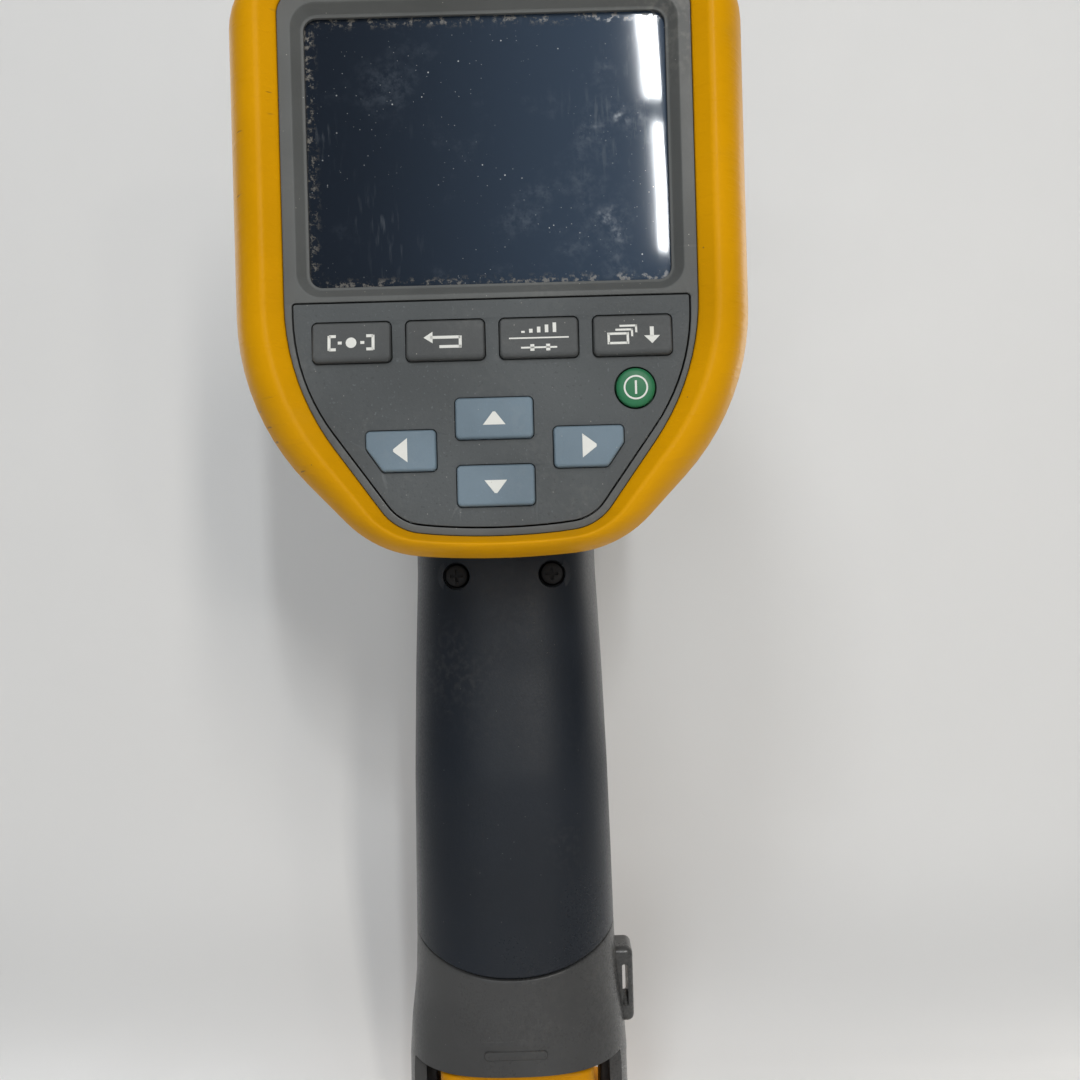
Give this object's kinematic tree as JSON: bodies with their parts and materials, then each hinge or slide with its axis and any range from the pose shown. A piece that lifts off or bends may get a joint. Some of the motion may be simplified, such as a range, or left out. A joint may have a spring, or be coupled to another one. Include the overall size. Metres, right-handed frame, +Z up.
{
  "type": "thermal imaging camera",
  "caption": "Pistol-grip thermal imager with a rear display and keypad in a rubber bumper, front lens with focus ring and flip cap, trigger, and slide-out battery in the handle",
  "frame": {"origin": "Centre of the flat underside of the battery pack, on which the camera stands", "axes": "+Z up along the handle; the display faces -Y and the lens looks along +Y; +X is to the right of someone looking at the display"},
  "size_m": [0.1054, 0.145, 0.267],
  "materials": {
    "bumper_yellow": "satin overmould",
    "battery_yellow": "satin",
    "panel_grey": "fine texture",
    "surround_grey": "satin",
    "housing_grey": "fine texture",
    "grip_black": "soft touch",
    "key_grey": "satin",
    "key_blue": "satin",
    "key_green": "satin",
    "window_glass": "polished",
    "germanium": "polished coated crystal",
    "board_green": "solder mask",
    "silicone_grey": "matt",
    "steel": "satin",
    "aluminium": "cast",
    "cell_wrap": "shrink sleeve",
    "brass": "turned"
  },
  "bodies": {
    "root": {"bezel_bumper": "bumper_yellow", "board_screw_1": "steel", "board_screw_2": "steel", "board_screw_3": "steel", "board_screw_4": "steel", "cap_pin": "steel", "detector_board": "board_green", "detector_module": "aluminium", "display_window": "window_glass", "front_housing": "housing_grey", "front_ring": "housing_grey", "grip_bracket": "aluminium", "handle_collar": "housing_grey", "handle_front_shell": "housing_grey", "handle_rear_cover": "grip_black", "handle_screw_left": "steel", "handle_screw_right": "steel", "ir_lens": "germanium", "keypad_board": "board_green", "keypad_mat": "silicone_grey", "keypad_panel": "panel_grey", "laser_pointer": "brass", "lcd_module": "steel", "lens_barrel": "aluminium", "lens_retainer": "steel", "main_board": "board_green", "port_block": "steel", "rear_chassis": "aluminium", "rear_housing": "surround_grey", "terminal_block": "key_grey", "trigger_pin": "steel", "trigger_spring": "steel", "trigger_switch": "key_grey", "visible_camera": "key_grey", "visible_window": "window_glass"},
    "focus_ring": {"focus_ring": "grip_black"},
    "lens_cap": {"lens_cap": "housing_grey"},
    "port_door": {"port_door": "housing_grey"},
    "trigger": {"trigger": "housing_grey"},
    "battery_pack": {"battery_base": "battery_yellow", "battery_sleeve": "key_grey", "battery_top": "key_grey", "battery_board": "board_green", "cell_rear": "cell_wrap", "cell_front": "cell_wrap"},
    "latch_left": {"latch_left": "key_grey"},
    "latch_right": {"latch_right": "key_grey"},
    "select_button": {"select_button": "key_grey"},
    "back_button": {"back_button": "key_grey"},
    "range_button": {"range_button": "key_grey"},
    "memory_button": {"memory_button": "key_grey"},
    "up_button": {"up_button": "key_blue"},
    "down_button": {"down_button": "key_blue"},
    "left_button": {"left_button": "key_blue"},
    "right_button": {"right_button": "key_blue"},
    "power_button": {"power_button": "key_green"}
  },
  "joints": [
    {"name": "select_button_press", "type": "slide", "parent": "root", "child": "select_button", "axis": [0, 1, 0], "range_m": [0, 0.001], "stiffness_N_per_m": 2000},
    {"name": "back_button_press", "type": "slide", "parent": "root", "child": "back_button", "axis": [0, 1, 0], "range_m": [0, 0.001], "stiffness_N_per_m": 2000},
    {"name": "range_button_press", "type": "slide", "parent": "root", "child": "range_button", "axis": [0, 1, 0], "range_m": [0, 0.001], "stiffness_N_per_m": 2000},
    {"name": "memory_button_press", "type": "slide", "parent": "root", "child": "memory_button", "axis": [0, 1, 0], "range_m": [0, 0.001], "stiffness_N_per_m": 2000},
    {"name": "up_button_press", "type": "slide", "parent": "root", "child": "up_button", "axis": [0, 1, 0], "range_m": [0, 0.001], "stiffness_N_per_m": 2000},
    {"name": "down_button_press", "type": "slide", "parent": "root", "child": "down_button", "axis": [0, 1, 0], "range_m": [0, 0.001], "stiffness_N_per_m": 2000},
    {"name": "left_button_press", "type": "slide", "parent": "root", "child": "left_button", "axis": [0, 1, 0], "range_m": [0, 0.001], "stiffness_N_per_m": 2000},
    {"name": "right_button_press", "type": "slide", "parent": "root", "child": "right_button", "axis": [0, 1, 0], "range_m": [0, 0.001], "stiffness_N_per_m": 2000},
    {"name": "power_button_press", "type": "slide", "parent": "root", "child": "power_button", "axis": [0, 1, 0], "range_m": [0, 0.001], "stiffness_N_per_m": 2000},
    {"name": "focus_turn", "type": "hinge", "parent": "root", "child": "focus_ring", "pos_m": [0, 0.0623, 0.213], "axis": [0, 1, 0], "range_deg": [-70, 70]},
    {"name": "lens_cap_flip", "type": "hinge", "parent": "root", "child": "lens_cap", "pos_m": [0, 0.089, 0.1884], "axis": [1, 0, 0], "range_deg": [0, 180]},
    {"name": "port_door_swing", "type": "hinge", "parent": "root", "child": "port_door", "pos_m": [-0.04766, 0.015, 0.193], "axis": [0, 0, -1], "range_deg": [0, 110]},
    {"name": "trigger_pull", "type": "hinge", "parent": "root", "child": "trigger", "pos_m": [0, 0.016, 0.1405], "axis": [1, 0, 0], "range_deg": [-9, 0], "stiffness_Nm_per_rad": 1, "deforming": ["trigger_spring"]},
    {"name": "battery_slide", "type": "slide", "parent": "root", "child": "battery_pack", "axis": [0, 0, -1], "range_m": [0, 0.095]},
    {"name": "latch_left_press", "type": "hinge", "parent": "battery_pack", "child": "latch_left", "pos_m": [-0.021, 0, 0.008], "axis": [0, 1, 0], "range_deg": [0, 3], "stiffness_Nm_per_rad": 4},
    {"name": "latch_right_press", "type": "hinge", "parent": "battery_pack", "child": "latch_right", "pos_m": [0.021, 0, 0.008], "axis": [0, -1, 0], "range_deg": [0, 3], "stiffness_Nm_per_rad": 4}
  ]
}
